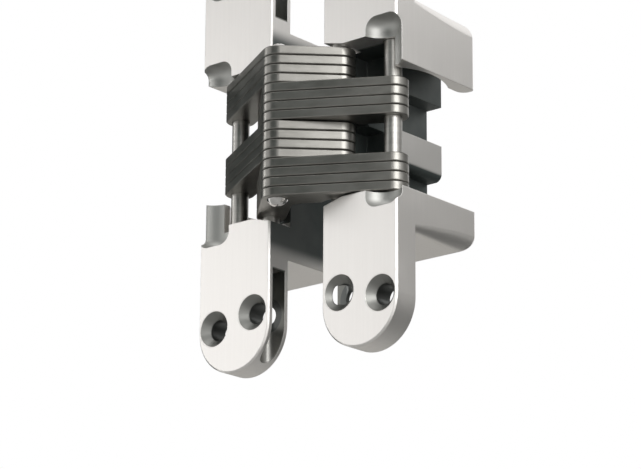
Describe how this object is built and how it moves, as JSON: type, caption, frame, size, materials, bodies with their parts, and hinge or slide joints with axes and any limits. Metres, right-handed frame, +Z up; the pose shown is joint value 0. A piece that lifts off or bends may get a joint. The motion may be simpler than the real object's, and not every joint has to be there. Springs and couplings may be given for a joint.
{
  "type": "concealed invisible door hinge",
  "caption": "Concealed mortise hinge with two deep bodies, rounded screw tabs and stacked link plates that fold away as it closes.",
  "frame": {"origin": "midway between the two bodies, on the plane of the face plates, at mid-height, with the hinge open at 180 degrees", "axes": "+X from the left body to the right body, +Y into the door and frame, +Z up along the pivot pins"},
  "size_m": [0.052, 0.0345, 0.0952],
  "materials": {
    "body_metal": "satin",
    "link_metal": "brushed",
    "pin_metal": "polished"
  },
  "bodies": {
    "left_leaf": {"left_body": "body_metal", "left_pivot_pin": "pin_metal"},
    "left_links": {"left_link_plate_1": "link_metal", "left_link_plate_2": "link_metal", "left_link_plate_3": "link_metal", "left_link_plate_4": "link_metal", "left_link_plate_5": "link_metal", "left_link_plate_6": "link_metal", "left_link_plate_7": "link_metal", "left_link_plate_8": "link_metal", "right_slide_pin": "pin_metal"},
    "right_links": {"right_link_plate_1": "link_metal", "right_link_plate_2": "link_metal", "right_link_plate_3": "link_metal", "right_link_plate_4": "link_metal", "right_link_plate_5": "link_metal", "right_link_plate_6": "link_metal", "right_link_plate_7": "link_metal", "right_link_plate_8": "link_metal", "left_slide_pin": "pin_metal", "centre_pin": "pin_metal"},
    "right_leaf": {"right_body": "body_metal", "right_pivot_pin": "pin_metal"}
  },
  "joints": [
    {"name": "left_pivot", "type": "hinge", "parent": "left_leaf", "child": "left_links", "pos_m": [-0.0092, 0.003, 0], "axis": [0, 0, 1], "range_deg": [-116, 0]},
    {"name": "centre_pivot", "type": "hinge", "parent": "left_links", "child": "right_links", "pos_m": [0, -0.0056, 0], "axis": [0, 0, 1], "range_deg": [0, 52]},
    {"name": "right_pivot", "type": "hinge", "parent": "right_links", "child": "right_leaf", "pos_m": [0.0092, 0.003, 0], "axis": [0, 0, 1], "range_deg": [-116, 0]}
  ],
  "couplings": [
    {"joint": "centre_pivot", "follows": "left_pivot", "ratio": -0.44821},
    {"joint": "right_pivot", "follows": "left_pivot", "ratio": 1}
  ]
}
